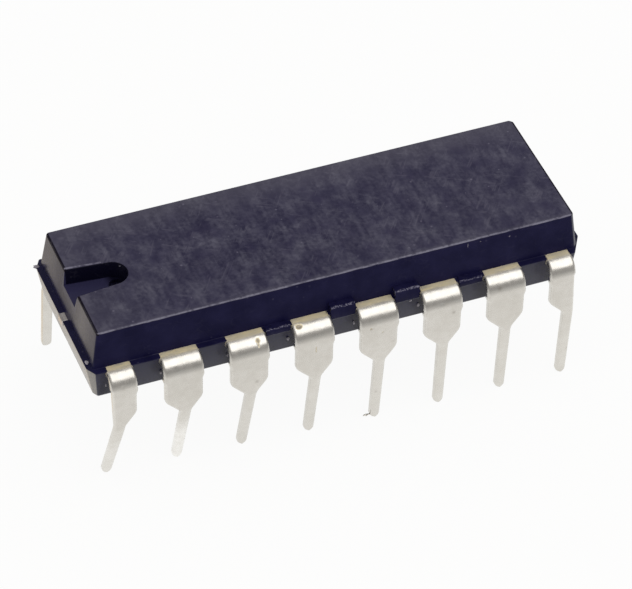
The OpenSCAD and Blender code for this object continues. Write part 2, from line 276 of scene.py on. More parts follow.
def finish_node(name, material):
    """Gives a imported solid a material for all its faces."""
    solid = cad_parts[name]
    solid.data.materials.clear()
    solid.data.materials.append(material)


finish_node("die_attach", build_die_adhesive())


# The die is a polished chip of silicon. Its circuit shows as rows of small blocks with thin
# metal tracks between them, under a clear film.
def build_silicon():
    """Silicon: a lattice of cells of uneven tone, with thin bright tracks between them."""
    made, tree, surface = new_material("silicon", (0.2, 0.22, 0.3, 1), 0.0, 0.15)
    cells = shader_node(
        tree,
        "TexBrick",
        {
            "Vector": own_place(tree),
            "Color1": (0.13, 0.16, 0.26, 1),
            "Color2": (0.24, 0.22, 0.30, 1),
            "Mortar": (0.55, 0.56, 0.60, 1),
            "Scale": 9000.0,
            "Mortar Size": 0.03,
            "Brick Width": 1.4,
            "Row Height": 0.7,
        },
        offset=0.3,
    )
    tone = placed_effect(tree, soft_patches, size=0.0004, contrast=2.0, place=2.0)
    feed(
        tree,
        surface,
        base_color=blended(tree, tone, cells.outputs["Color"], (0.17, 0.20, 0.22, 1)),
        roughness=eased(tree, cells.outputs["Fac"], 0.0, 1.0, 0.12, 0.3),
    )
    raised_by(tree, surface, cells.outputs["Fac"], 0.000001)
    return made


finish_node("silicon_die", build_silicon())


# Sixteen gold bond wires, each 0.03 mm thick, are welded by a ball to the die and by a stitch
# to a finger of the lead frame.
def build_gold_wire():
    """Drawn gold: bright, with faint drawing marks."""
    made, tree, surface = new_material("gold_wire", (0.85, 0.60, 0.22, 1), 1.0, 0.2)
    drawn = placed_effect(tree, fine_grain, size=0.00002, drawn=6.0)
    feed(
        tree,
        surface,
        base_color=blended(tree, drawn, (0.80, 0.54, 0.18, 1), (0.90, 0.68, 0.30, 1)),
        roughness=eased(tree, drawn, 0.3, 0.7, 0.15, 0.3),
    )
    return made


gold_wire = build_gold_wire()
for wire in range(1, 17):
    finish_node(f"bond_wire_{wire}", gold_wire)


# The package is black epoxy moulding compound, cast round the frame in one shot. It has a
# lower and an upper half with draft on every side, a ledge where the mould halves met, an
# index notch with a round end, and rough stubs where the runner was broken off.
underside_z = 4.1
frame_z = 5.54
top_z = 7.1
ledge_half = (9.79, 3.27)
upper_half = (9.5, 3.02)
lower_fall = 0.28
upper_fall = (0.178, 0.123)
ledge_cut = (0.24, 0.41)
lead_pitch = 2.54


def parabola(start, at, end, t):
    """Points at t on the parabola from start to end that is drawn towards a corner."""
    return (1 - t) ** 2 * start + 2 * t * (1 - t) * at + t**2 * end


def eased_corners(points, back, ahead, steps):
    """A line of points with its inner corners rounded. Each becomes a parabola that starts a
    share `back` of the way to the point before and ends a share `ahead` of the way to the next.
    Gives the line and, for each of its points, how near it is to the middle of a corner."""
    before, at, after = points[:-2], points[1:-1], points[2:]
    start = at + (before - at) * np.array(back)[:, None]
    end = at + (after - at) * np.array(ahead)[:, None]
    t = np.linspace(0, 1, steps)[None, :, None]
    arcs = parabola(start[:, None], at[:, None], end[:, None], t)
    line = np.concatenate([points[:1], arcs.reshape(-1, points.shape[1]), points[-1:]])
    near = np.concatenate([[0], np.tile((4 * t * (1 - t)).ravel(), len(at)), [0]])
    return line, near


def unit(ways):
    """Directions of length one along the given ones."""
    return ways / np.linalg.norm(ways, axis=-1, keepdims=True)


def closed_outline(arcs, counts):
    """Outlines from the arcs of their corners, (levels, corners, steps, 2), with so many points
    on the straight edge after each corner."""
    parts = []
    for k, count in enumerate(counts):
        share = (np.arange(1, count + 1) / (count + 1))[:, None]
        last, following = arcs[:, k, -1:], arcs[:, (k + 1) % len(counts), :1]
        parts += [arcs[:, k], last * (1 - share) + following * share]
    return np.concatenate(parts, 1)


def plan_rings(half_x, half_y, cut_x, cut_y, notch_out, steps=5, long_count=120, short_count=40):
    """Outlines of the package at several levels, seen from above: a rectangle with its corners
    cut, twice as far at the plain end, and each of its eight corners rounded over a small
    reach. The notch end stands further out by notch_out. All values are arrays over the levels,
    and the result is (levels, points, 2), running anticlockwise."""
    end_x = half_x + notch_out
    side_x, side_y = end_x - cut_x, half_y - cut_y
    plain_x, plain_y = half_x - 2 * cut_x, half_y - 2 * cut_y
    corner_x = [half_x, half_x, plain_x, -side_x, -end_x, -end_x, -side_x, plain_x]
    corner_y = [-plain_y, plain_y, half_y, half_y, side_y, -side_y, -half_y, -half_y]
    corners = np.array([corner_x, corner_y]).T
    reach = np.minimum(0.45 * np.hypot(cut_x, cut_y), 0.045)[:, None, None]
    onwards = unit(np.roll(corners, -1, 1) - corners)
    start = corners - np.roll(onwards, 1, 1) * reach
    end = corners + onwards * reach
    t = np.linspace(0, 1, steps)[None, None, :, None]
    arcs = parabola(start[:, :, None], corners[:, :, None], end[:, :, None], t)
    return closed_outline(arcs, [short_count, 2, long_count, 2] * 2)


def joined_forms(forms):
    """Several (points, faces, marks) forms as one, where marks holds one value a point."""
    starts = np.cumsum([0] + [len(f[0]) for f in forms[:-1]])
    faces = [[v + int(s) for v in face] for s, f in zip(starts, forms) for face in f[1]]
    return np.concatenate([f[0] for f in forms]), faces, np.concatenate([f[2] for f in forms])


def package_shell():
    """Both halves as one closed surface: rings that follow a rounded profile up the outside,
    from the underside over the ledge to the top."""
    low_cut = (ledge_cut[0] - 0.43 * lower_fall, ledge_cut[1] - 0.73 * lower_fall)
    corner, inset, ledge_z = 0.06, 0.6, frame_z - 0.012
    low = [half - lower_fall for half in ledge_half]
    high = [half - fall for half, fall in zip(upper_half, upper_fall)]
    profile = np.array(
        [
            [low[0] - inset, low[1] - inset, *low_cut, 0, underside_z],
            [*low, *low_cut, 0, underside_z],
            [*ledge_half, *ledge_cut, -0.025, ledge_z],
            [*upper_half, corner, corner, 0.06, ledge_z],
            [*high, corner, corner, 0, top_z],
            [high[0] - inset, high[1] - inset, corner, corner, 0, top_z],
        ]
    )
    line, near = eased_corners(profile, [0.12, 0.025, 0.1, 0.035], [0.07, 0.08, 0.03, 0.07], 7)
    rings = plan_rings(*line.T[:5])
    points, faces = capped_tube(points_of(rings[..., 0], rings[..., 1], line[:, 5][:, None]))
    wear_and_highlight_marks = near * np.clip((line[:, 5] - frame_z) / (top_z - frame_z), 0.5, 1)
    return points, faces, np.repeat(wear_and_highlight_marks, rings.shape[1])


def notch_cutter():
    """The index notch as a solid to cut away: a slot that narrows from the end of the package
    to a round end, with sloping walls and a rounded rim where it meets the top face."""
    mouth, neck, depth, slope, rim = 0.75, 0.6, 0.63, math.tan(math.radians(12)), 0.05
    length, overshoot = 1.55, 0.5
    end_x = upper_half[0] - upper_fall[0]
    centre_x, out_x = length - end_x, -end_x - overshoot
    flare = (mouth - neck) / length
    level = np.array(
        [[-depth * slope, -depth], [-0.06 * slope, -0.06], [0.004, -0.028], [0.018, -0.012],
         [rim, 0.004], [rim + 0.3, 0.2]]
    )
    reach, height = level.T
    angle = np.linspace(-math.pi / 2, math.pi / 2, 41)
    round_x = centre_x + (neck + reach[:, None]) * np.cos(angle)
    round_y = (neck + reach[:, None]) * np.sin(angle)
    share = np.linspace(0, 1, 20, endpoint=False)
    wall_x = np.broadcast_to(out_x + (centre_x - out_x) * share, (len(level), 20))
    wall_y = neck + reach[:, None] + flare * (centre_x - wall_x)
    ring_x = np.concatenate([wall_x, round_x, wall_x[:, ::-1]], 1)
    ring_y = np.concatenate([-wall_y, round_y, wall_y[:, ::-1]], 1)
    points, faces = capped_tube(points_of(ring_x, ring_y, top_z + height[:, None]))
    wear_and_highlight_marks = np.array([0, 0, 0.5, 1, 0.5, 0])
    return points, faces, np.repeat(wear_and_highlight_marks, ring_x.shape[1])


def disc_cutter(centre_x, radius, low_z, high_z, low_radius):
    """A round plug to cut away, with its lower end of another radius."""
    angle = np.linspace(0, 2 * math.pi, 64, endpoint=False)
    radii, heights = np.array([[low_radius, radius], [low_z, high_z]])[:, :, None]
    rings = points_of(centre_x + radii * np.cos(angle), radii * np.sin(angle), heights)
    points, faces = capped_tube(rings)
    return points, faces, np.zeros(len(points))


def uneven(t, seed, waves=6):
    """Smooth unevenness of about unit size along t in millimetres: sines of growing frequency
    and falling height, with fixed phases for each seed."""
    picked = np.random.default_rng(seed)
    rates = 4.0 * 1.5 ** np.arange(waves)
    phases = picked.uniform(0, 2 * math.pi, waves)
    heights = picked.uniform(0.5, 1, waves) * rates**-0.4
    return (np.sin(np.asarray(t)[..., None] * rates + phases) * heights).sum(-1)


def gate_stub(centre_x, rise, width, roughness, seed):
    """A stub of the runner: a small block against the package's side, its broken top uneven."""
    x = centre_x + np.linspace(-width / 2, width / 2, 33)
    inner, outer = -2.9, -ledge_half[1] - 0.06
    low, high = frame_z - 0.25, frame_z + rise
    profile, near = eased_corners(
        np.array([[inner, low], [outer, low], [outer + rise * 0.08, high], [inner, high]]),
        [0.05, 0.12],
        [0.12, 0.25],
        9,
    )
    broken = np.clip((profile[:, 1] - frame_z) / max(rise, 0.01) - 0.55, 0, 0.45) / 0.45
    edge = near * (profile[:, 1] > frame_z)
    lift = roughness * uneven(x[:, None] + 0.7 * profile[None, :, 0], seed) * broken
    set_back = np.minimum(0.25 * roughness * uneven(x[:, None], seed + 1), 0)
    rings = points_of(x[:, None], profile[None, :, 0] - set_back, profile[None, :, 1] + lift)
    points, faces = capped_tube(rings)
    return points, [face[::-1] for face in faces], np.broadcast_to(-edge, lift.shape).ravel()


def crumb(centre, size, seed, mark=-2.0):
    """A crumb of flash: a ball of the given half sizes with an uneven skin."""
    around = np.linspace(0, 2 * math.pi, 14, endpoint=False)
    up = np.linspace(-0.48, 0.48, 9)[:, None] * math.pi
    ball = points_of(np.cos(up) * np.cos(around), np.cos(up) * np.sin(around), np.sin(up))
    skin = 1 + 0.3 * uneven(2 * ball[..., 0] + up, seed)
    points, faces = capped_tube(np.array(centre) + np.array(size) * ball * skin[..., None])
    return points, faces, np.full(len(points), mark)


def applied(piece):
    """Puts the result of a piece's modifiers in its mesh."""
    seen = piece.evaluated_get(bpy.context.evaluated_depsgraph_get())
    done = bpy.data.meshes.new_from_object(seen)
    piece.modifiers.clear()
    piece.data = done


def cut_away(piece, *cutters):
    """Cuts the given solids out of a piece, one after another, and removes them."""
    for cutter in cutters:
        cut = piece.modifiers.new("cut", "BOOLEAN")
        cut.operation, cut.solver, cut.object = "DIFFERENCE", "EXACT", cutter
    applied(piece)
    for cutter in cutters:
        bpy.data.objects.remove(cutter)


def evenly_lit(piece, degrees):
    """Shades a piece smooth up to an angle, its large flat faces kept flat."""
    piece.data.shade_smooth()
    piece.data.set_sharp_from_angle(angle=math.radians(degrees))
    weigh = piece.modifiers.new("flat faces first", "WEIGHTED_NORMAL")
    weigh.keep_sharp, weigh.weight = True, 100


package = new_object("moulded_package", *package_shell())
marks = [disc_cutter(x, 0.9, underside_z - 0.5, underside_z + 0.06, 0.92) for x in (-6.6, 6.6)]
first_cut = new_object("first_cut", *joined_forms([notch_cutter()] + marks))
pit = new_object("pit_cut", *disc_cutter(-7.6, 0.3, top_z - 0.76, top_z - 0.5, 0.27))
cut_away(package, first_cut, pit)
stubs = [
    gate_stub(0.0, 0.32, 0.96, 0.035, 3),
    gate_stub(2.54, 0.32, 0.96, 0.02, 11),
    gate_stub(-2.54, 0.03, 0.94, 0.03, 21),
    gate_stub(5.08, 0.02, 0.9, 0.015, 31),
]
crumb_facts = [
    ((-7.0, -3.17, 4.68), (0.07, 0.02, 0.05), 1),
    ((-6.96, -3.2, 4.9), (0.02, 0.02, 0.1), 2),
    ((-4.45, -3.16, 4.7), (0.05, 0.02, 0.05), 3),
    ((-2.1, -3.17, 4.75), (0.05, 0.03, 0.07), 4),
    ((-2.25, -3.29, 5.5), (0.16, 0.03, 0.05), 5),
    ((-9.11, -3.1, 4.72), (0.02, 0.03, 0.1), 6),
    ((0.5, -3.16, 4.7), (0.03, 0.02, 0.08), 7),
    ((3.06, -3.17, 4.78), (0.05, 0.02, 0.07), 8),
    ((2.7, -3.22, 5.15), (0.05, 0.02, 0.03), 9),
    ((-9.64, -2.58, 5.54), (0.07, 0.1, 0.035), 10),
    ((-7.33, 0.37, 6.98), (0.045, 0.035, 0.04), 11, -1.25),
    ((-9.73, 2.92, 5.52), (0.11, 0.09, 0.03), 15, -1.6),
    ((-7.97, 0.68, 7.085), (0.05, 0.025, 0.02), 16, -1.3),
    ((5.05, -2.914, 6.88), (0.012, 0.008, 0.13), 12, -1.4),
    ((5.55, -2.912, 6.94), (0.03, 0.008, 0.02), 13, -1.4),
    ((6.72, -2.918, 6.84), (0.03, 0.008, 0.04), 14, -1.4),
]
crumbs = [crumb(*facts) for facts in crumb_facts]
fittings = new_object("stubs_and_crumbs", *joined_forms(stubs + crumbs))
with bpy.context.temp_override(
    active_object=package, selected_editable_objects=[package, fittings]
):
    bpy.ops.object.join()
evenly_lit(package, 35)


def build_fine_scratches():
    """Fine scratches: narrow bands where drawn-out, turned noise passes its middle value, kept
    only where a coarser noise is high. Turn is in radians about Z, Size in metres."""
    tree, given, out = effect_group(
        "fine scratches", {"Size": 0.001, "Turn": 0.6, "Width": 0.01}, "Scratches"
    )
    aimed = {"Vector": own_place(tree), "Angle": given["Turn"]}
    turned = shader_node(tree, "VectorRotate", aimed, rotation_type="Z_AXIS").outputs[0]
    drawn_out = {0: turned, 1: (0.04, 1.0, 1.0)}
    drawn = shader_node(tree, "VectorMath", drawn_out, operation="MULTIPLY").outputs[0]
    rate = worked_out(tree, "DIVIDE", 1.0, given["Size"])
    lines, spread = (
        shader_node(tree, "TexNoise", {"Vector": at, "Scale": rate, "Detail": fine}).outputs["Fac"]
        for at, fine in ((drawn, 2.0), (turned, 1.0))
    )
    off = worked_out(tree, "ABSOLUTE", worked_out(tree, "SUBTRACT", lines, 0.5))
    thin = eased(tree, off, 0.0, given["Width"], 1, 0)
    kept = eased(tree, spread, 0.52, 0.62)
    tree.links.new(product(tree, thin, kept), out["Scratches"])
    return tree


def build_small_specks():
    """Small specks: the middles of scattered cells, with only the given share of cells used."""
    tree, given, out = effect_group("small specks", {"Size": 0.0002, "Share": 0.2}, "Specks")
    rate = worked_out(tree, "DIVIDE", 1.0, given["Size"])
    cells = shader_node(tree, "TexVoronoi", {"Vector": own_place(tree), "Scale": rate})
    picked = shader_node(tree, "SeparateColor", {"Color": cells.outputs["Color"]})
    used = worked_out(tree, "LESS_THAN", picked.outputs[0], given["Share"])
    size = worked_out(tree, "MULTIPLY_ADD", picked.outputs[1], 0.22, 0.08)
    body = eased(tree, cells.outputs["Distance"], 0.0, size, 1, 0)
    tree.links.new(product(tree, body, used), out["Specks"])
    return tree


fine_scratches = build_fine_scratches()
small_specks = build_small_specks()


def highest(tree, first, *others):
    """The highest of several numbers or sockets."""
    for other in others:
        first = worked_out(tree, "MAXIMUM", first, other)
    return first


def layered(tree, colour, *layers):
    """A colour with others laid over it in turn: each layer is a share and a colour."""
    for share, over in layers:
        colour = blended(tree, share, colour, over)
    return colour


def mirror_coat(tree, end_rim_painted_shade, y, z):
    """The sheen of faces seen at a grazing angle. The upper half's end faces are rubbed dull
    about the notch and towards the front, and their upper edges have none."""
    facing = shader_node(tree, "LayerWeight", {"Blend": 0.5}).outputs["Facing"]
    notch_y = 0.4
    off_notch = worked_out(tree, "ABSOLUTE", worked_out(tree, "SUBTRACT", y, notch_y))
    dulled = within(tree, (off_notch, 0.4, 1.9, 0.5, 1.0), (y, -2.8, -1.3, 0.55, 1.0))
    on_upper_half = eased(tree, z, 5.4, 5.6)
    return product(
        tree,
        eased(tree, facing, 0.22, 0.65, 0.0, 0.8),
        worked_out(tree, "SUBTRACT", 1.0, end_rim_painted_shade),
        blended(tree, on_upper_half, (1, 1, 1, 1), dulled),
    )


def moulded_faces(tree, patches, x, y, z, from_centre):
    """The moulded skin of the sides, and the inside of the notch: a bluish floor, and a black
    back wall and round end where the photo shows shade."""
    from_middle = worked_out(tree, "ABSOLUTE", y)
    in_notch = within(tree, (x, -7.15, -7.1, 1, 0), (z, 6.2, 6.3), (from_middle, 0.78, 0.8, 1, 0))
    on_wall = within(tree, (from_centre, 9.31, 9.33, 1, 0), (z, 6.475, 6.5))
    in_shade = product(tree, in_notch, highest(tree, on_wall, eased(tree, x, -8.0, -7.6)))
    return layered(
        tree,
        blended(tree, patches, (0.0033, 0.003, 0.017, 1), (0.0065, 0.006, 0.025, 1)),
        (product(tree, in_notch, 0.8), (0.0155, 0.0145, 0.036, 1)),
        (product(tree, in_shade, 0.9), (0.0004, 0.0003, 0.003, 1)),
    )


def bloom_and_painted_sheen_top(tree, patches, grain, smears, x, y):
    """The top face's colour, lighter than the sides partly as painted sheen of the overhead
    light: clouds and patches of fine dust, thicker near the notch end and along the front and
    rear edges."""
    clouds = placed_effect(tree, soft_patches, size=0.0045, contrast=2.0, place=5.0)
    cloudy = blended(tree, clouds, (0.007, 0.006, 0.020, 1), (0.017, 0.0155, 0.033, 1))
    light = blended(tree, patches, (0.020, 0.018, 0.038, 1), (0.055, 0.053, 0.074, 1))
    grained = eased(tree, grain, 0.25, 0.8, 0.0, 0.5)
    uneven_bloom = worked_out(tree, "ADD", grained, eased(tree, smears, 0.3, 0.7, 0.0, 0.5))
    # Painted sheen with the dust: the bands near the notch end and along the front and rear edges
    # are lighter still.
    spans = (x, -9.4, -6.2, 0.2, 0.0), (y, 1.4, 2.9, 0.0, 0.3), (y, -2.88, -2.62, 0.3, 0.0)
    dust_and_painted_sheen = highest(tree, *(eased(tree, *span) for span in spans))
    return layered(tree, cloudy, (uneven_bloom, light), (dust_and_painted_sheen, (0.06, 0.057, 0.072, 1)))


def worn_edges_and_painted_highlights(tree, marks, patches, unevenness, on_top, x, y, from_centre):
    """Rubbed edges of the upper half, lighter partly from wear and partly as painted highlight,
    kept off the notch's front rim, and two broken lines of painted highlight on the top face:
    along the notch's rear rim and along the front edge."""
    from_middle = worked_out(tree, "ABSOLUTE", y)
    rubbed_and_highlit = product(
        tree,
        highest(tree, eased(tree, from_middle, 1.2, 1.4), eased(tree, y, 0.4, 0.55)),
        eased(tree, from_centre, 9.12, 9.25, 1.0, 0.1),
        within(tree, (marks, 0.3, 1.0, 0.0, 0.9), (patches, 0.2, 0.8, 0.1, 1.0)),
    )
    wall_flare, wall_offset = 0.0968, 0.152
    moved = worked_out(tree, "ADD", y, wall_offset)
    gap = worked_out(tree, "MULTIPLY_ADD", x, wall_flare, moved)
    rim_line = within(tree, (x, -8.1, -7.9, 1, 0), (gap, 0.02, 0.04), (gap, 0.07, 0.13, 1, 0))
    lines = highest(tree, rim_line, eased(tree, y, -2.87, -2.80, 1, 0))
    lines = product(tree, lines, on_top, eased(tree, unevenness, 0.75, 1.15, 0.15, 0.75))
    return highest(tree, rubbed_and_highlit, lines)


def build_mould_compound():
    """Filled epoxy: near black and slightly blue, bloomed with fine dust and rubbing and lighter
    with painted sheen on its top face, lighter along worn edges that also carry painted
    highlights, on broken stubs whose front edges carry painted highlight, and on crumbs of flash,
    with painted shade along the top edges of the end faces and painted warm light on the front
    of the lower half's end face. Marks above 0 are worn, highlit edges, below 0 stubs, below -1
    crumbs."""
    made, tree, surface = new_material(
        "mould_compound", (0.0048, 0.0045, 0.022, 1), 0.0, 0.35, 0.05
    )
    x, y, z = position(tree)
    from_centre = worked_out(tree, "ABSOLUTE", x)
    marks = shader_node(tree, "Attribute", {}, attribute_name="edge_wear_and_highlight").outputs["Fac"]
    grain = placed_effect(tree, fine_grain, size=0.00015, drawn=1.0)
    smears = placed_effect(tree, fine_grain, size=0.0011, drawn=0.25)
    fine = placed_effect(tree, fine_grain, size=0.00005, drawn=1.0)
    patches = placed_effect(tree, soft_patches, size=0.0008, contrast=3.0, place=4.0)
    scratches = placed_effect(tree, fine_scratches, size=0.0006, turn=0.5, width=0.02)
    crossed = placed_effect(tree, fine_scratches, size=0.0005, turn=2.2, width=0.02)
    specks = placed_effect(tree, small_specks, size=0.00024, share=0.12)
    on_top = eased(tree, z, top_z - 0.03, top_z - 0.01)
    # Painted shade: a dark line along the top edges of both end faces, standing in for the shading
    # of their rounded rims; the coat is kept off it as well.
    end_rim_painted_shade = within(tree, (from_centre, 9.24, 9.27), (z, top_z - 0.11, top_z - 0.07))
    unevenness = worked_out(tree, "ADD", grain, smears)
    edge = worn_edges_and_painted_highlights(tree, marks, patches, unevenness, on_top, x, y, from_centre)
    line_share = eased(tree, on_top, 0.0, 1.0, 0.03, 0.18)
    speck_share = eased(tree, on_top, 0.0, 1.0, 0.12, 0.4)
    broken = eased(tree, marks, -0.9, -0.1, 1, 0)
    # Painted light: a warm lit strip on the front part of the lower half's end face.
    cut_line = worked_out(tree, "MULTIPLY_ADD", z, 0.094, x)
    painted_warm_light_corner = within(
        tree,
        (cut_line, -9.03, -9.01, 1, 0),
        (y, -2.72, -2.66, 1, 0),
        (z, 5.49, 5.52, 0.85, 0.0),
        (fine, 0.35, 0.55, 0.6, 1.0),
    )
    colour = layered(
        tree,
        moulded_faces(tree, patches, x, y, z, from_centre),
        (on_top, bloom_and_painted_sheen_top(tree, patches, grain, smears, x, y)),
        (end_rim_painted_shade, (0.003, 0.002, 0.006, 1)),
        (product(tree, highest(tree, scratches, crossed), line_share), (0.09, 0.085, 0.11, 1)),
        (product(tree, specks, speck_share), (0.13, 0.12, 0.16, 1)),
        # Worn edges, lighter partly from wear and partly as painted highlight.
        (edge, (0.13, 0.125, 0.16, 1)),
        # Broken stubs: lighter along their front top edges, partly from the broken surface and
        # partly as painted highlight.
        (product(tree, broken, eased(tree, fine, 0.45, 0.6)), (0.10, 0.095, 0.13, 1)),
        (painted_warm_light_corner, (0.14, 0.125, 0.105, 1)),
        (eased(tree, marks, -1.9, -1.1, 1, 0), (0.20, 0.185, 0.21, 1)),
    )
    feed(
        tree,
        surface,
        base_color=colour,
        roughness=worked_out(tree, "MULTIPLY_ADD", grain, 0.2, 0.25),
        coat_weight=mirror_coat(tree, end_rim_painted_shade, y, z),
    )
    surface.inputs["Coat Roughness"].default_value = 0.2
    raised_by(tree, surface, worked_out(tree, "MULTIPLY_ADD", fine, 0.4, grain), 0.000004)
    return made


package.data.materials.clear()
package.data.materials.append(build_mould_compound())
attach(package, "root")
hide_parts("moulded_body")


# The sixteen leads are stamped from the same alloy strip, tin plated, cut from their dam bars
# and bent down beside the package. The front pins are bent inwards and towards the notch, and
# the rear corner lead is splayed. The bend is 0.14 mm rounder than in the solids.
row_leads = 8
lead_thick = 0.25
root_width = 1.54
leg_width = 1.45
corner_reach = 0.21
bend_outer = 0.58
leg_y = 3.84
neck_z = 3.1
pin_width = 0.42
tip_width = 0.38
pin_fold = (16.7, 14.4, 11.2, 7.5, 4.3, 2.2, 1.3, 0.5)
pin_lean = (5.7, 2.2, 2.8, 1.6, 0.8, 0.6, 1.4, 2.1)
fold_radius = 0.7
bend_z = frame_z - bend_outer
bend_y = leg_y - bend_outer
inner_y = upper_half[1] - 0.35
finger_width = 0.6
fingertip_width = 0.36
dents = [
    (3, 0.84, -0.38, 0.08, 0.06, 0.05),
    (3, 0.98, -0.36, 0.07, 0.035, 0.03),
    (4, 0.74, 0.52, 0.07, 0.11, 0.04),
    (4, 1.75, -0.02, 0.14, 0.025, 0.02),
    (5, 1.42, -0.36, 0.035, 0.04, 0.03),
    (5, 1.72, 0.10, 0.03, 0.03, 0.025),
    (2, 1.05, 0.30, 0.05, 0.10, 0.008),
    (6, 1.15, -0.10, 0.05, 0.14, 0.008),
    (7, 1.95, 0.05, 0.25, 0.25, 0.006),
    (8, 1.10, 0.20, 0.06, 0.08, 0.010),
    (1, 1.20, -0.20, 0.06, 0.06, 0.012),
]


def lead_facts(number):
    """Place and bends of a lead: 1 to 8 run along the front from the notch, 9 to 16 come back
    along the rear. Gives its X, its side (-1 front, 1 rear), the shift of its pin, and its
    fold, lean and splay in radians."""
    front = number <= row_leads
    x = ((number - 1 if front else 2 * row_leads - number) - (row_leads - 1) / 2) * lead_pitch
    fold = pin_fold[number - 1] if front else 0.0
    lean = pin_lean[number - 1] if front else 0.0
    aside = 0.06 if x > 0 else -0.06
    splay, shift = (7.9, 0.17) if number == 2 * row_leads else (0.0, aside if front else 0.0)
    outwards = lean if x < 0 else -lean
    return x, -1 if front else 1, shift, *np.radians([fold, outwards, splay])


def stations(stretches):
    """The line of a strip bent in one plane. Each stretch is (length, turn in radians, steps,
    closing), where closing packs the steps towards its end. A step is the chord of its arc.
    Gives distance, out, up and heading (0 is outwards, a right angle is down)."""
    shares = []
    for _, _, steps, closing in stretches:
        even = np.linspace(0, 1, steps + 1)
        shares.append(np.diff(np.sin(even * math.pi / 2) if closing else even))
    lengths = np.concatenate([s[0] * share for s, share in zip(stretches, shares)])
    turns = np.concatenate([s[1] * share for s, share in zip(stretches, shares)])
    heading = np.concatenate([[0], np.cumsum(turns)])
    middle = heading[:-1] + turns / 2
    chord = lengths * np.sinc(turns / 2 / math.pi)
    out = np.concatenate([[0], np.cumsum(chord * np.cos(middle))])
    up = np.concatenate([[0], -np.cumsum(chord * np.sin(middle))])
    return np.concatenate([[0], np.cumsum(lengths)]), out, up, heading


def edge_reach(drop, root_half, half, tip_drop, shift):
    """Half width of a lead at a depth below its bend: root, dam bar stub, straight edge, sloping
    shoulder with a rounded corner, and the narrowing pin with its blunt round tip, a
    superellipse. The pin is shifted sideways over the height of the shoulder, or of the whole
    edge where there is none. Corners are softened by the mean over 0.08 mm to both sides."""
    neck, shoulder, blunt = bend_z - neck_z, 0.6, 2.6
    pin_half, tip_half = pin_width / 2, tip_width / 2
    plain = half <= pin_half
    stub, corner = (0.0, 0.0) if plain else (0.06, 0.22)
    turn = math.atan2(half - pin_half, shoulder)
    angle = np.linspace(0, turn, 7)
    arc_drop = neck - shoulder - corner * math.tan(turn / 2) + corner * np.sin(angle)
    arc = np.stack([arc_drop, half - corner + corner * np.cos(angle)], 1)
    low, tip_start = min(root_half, half), neck + tip_drop - tip_half
    knots = np.array(
        [[-1, root_half], [-0.04, root_half], [0.01, low], [0.05, half + stub], [0.29, half + stub],
         [0.35, half], *arc, [neck, pin_half], [tip_start, tip_half]]
    )
    if plain:
        knots = knots[[0, 1, 2, -2, -1]]
    around = drop + np.linspace(-0.08, 0.08, 7)[:, None]
    reach = np.interp(around, knots[:, 0], knots[:, 1]).mean(0)
    below = np.clip(drop - tip_start, 0, tip_half)
    round_tip = tip_half * np.clip(1 - (below / tip_half) ** blunt, 0, None) ** (1 / blunt)
    start = 0.01 if plain else neck - shoulder
    shifted = shift * np.clip((drop - start) / (neck - start), 0, 1)
    return np.where(below > 0, round_tip, reach) + shifted


def ripple(along, across, seed, waves=7):
    """Faint waviness of a rolled and bent surface: sines of random direction, 0.5 to 2 mm long."""
    picked = np.random.default_rng(seed)
    rate = 2 * math.pi / picked.uniform(0.5, 2.0, waves)
    heading = picked.uniform(0, math.pi, waves)
    phase = picked.uniform(0, 2 * math.pi, waves)
    way = np.cos(heading) * along[..., None] + np.sin(heading) * across[..., None]
    return np.sin(way * rate + phase).mean(-1)


def lead_section(out_half, in_half, face_round, back_round, steps=5):
    """Cross-section of the strip at every station: a rectangle with rounded corners, larger on
    the face that the punch entered. Gives across and through, each (stations, points)."""
    across_side = np.array([1, -1, -1, 1])
    through_side = np.array([1, 1, -1, -1])
    limit = 0.98 * (out_half + in_half) / 2
    wanted = np.array([face_round, face_round, back_round, back_round])
    corner = np.minimum(wanted[None], limit[:, None])
    edge = np.stack([out_half, -in_half, -in_half, out_half], 1)
    start = np.arange(4)[:, None] * math.pi / 2
    angle = start + np.linspace(0, math.pi / 2, steps)[None]
    across = (edge - across_side * corner)[:, :, None] + corner[:, :, None] * np.cos(angle)
    middle = through_side * (lead_thick / 2 - corner)
    through = middle[:, :, None] + corner[:, :, None] * np.sin(angle)
    outline = closed_outline(np.stack([across, through], -1), [26, 1, 4, 1])
    return outline[..., 0], outline[..., 1]


def dented(number, distance, across, through):
    """Handling marks on the outer face: each is a bell of some depth, centred some way along
    the strip and across it, with its own half lengths in both directions. Gives the dented
    surface and, for each point, how far the deeper marks wore off the tin."""
    worn, wearing_depth = 0 * through, 0.018
    for lead, along, aside, long, wide, depth in dents:
        if lead == number:
            off_along = (distance[:, None] - along) / long
            bell = np.exp(-(off_along**2) - ((across - aside) / wide) ** 2) * (through > 0)
            through = through - depth * bell
            if depth > wearing_depth:
                worn = np.maximum(worn, np.clip((1.7 * bell - 0.35) / 0.3, 0, 1))
    return through, worn


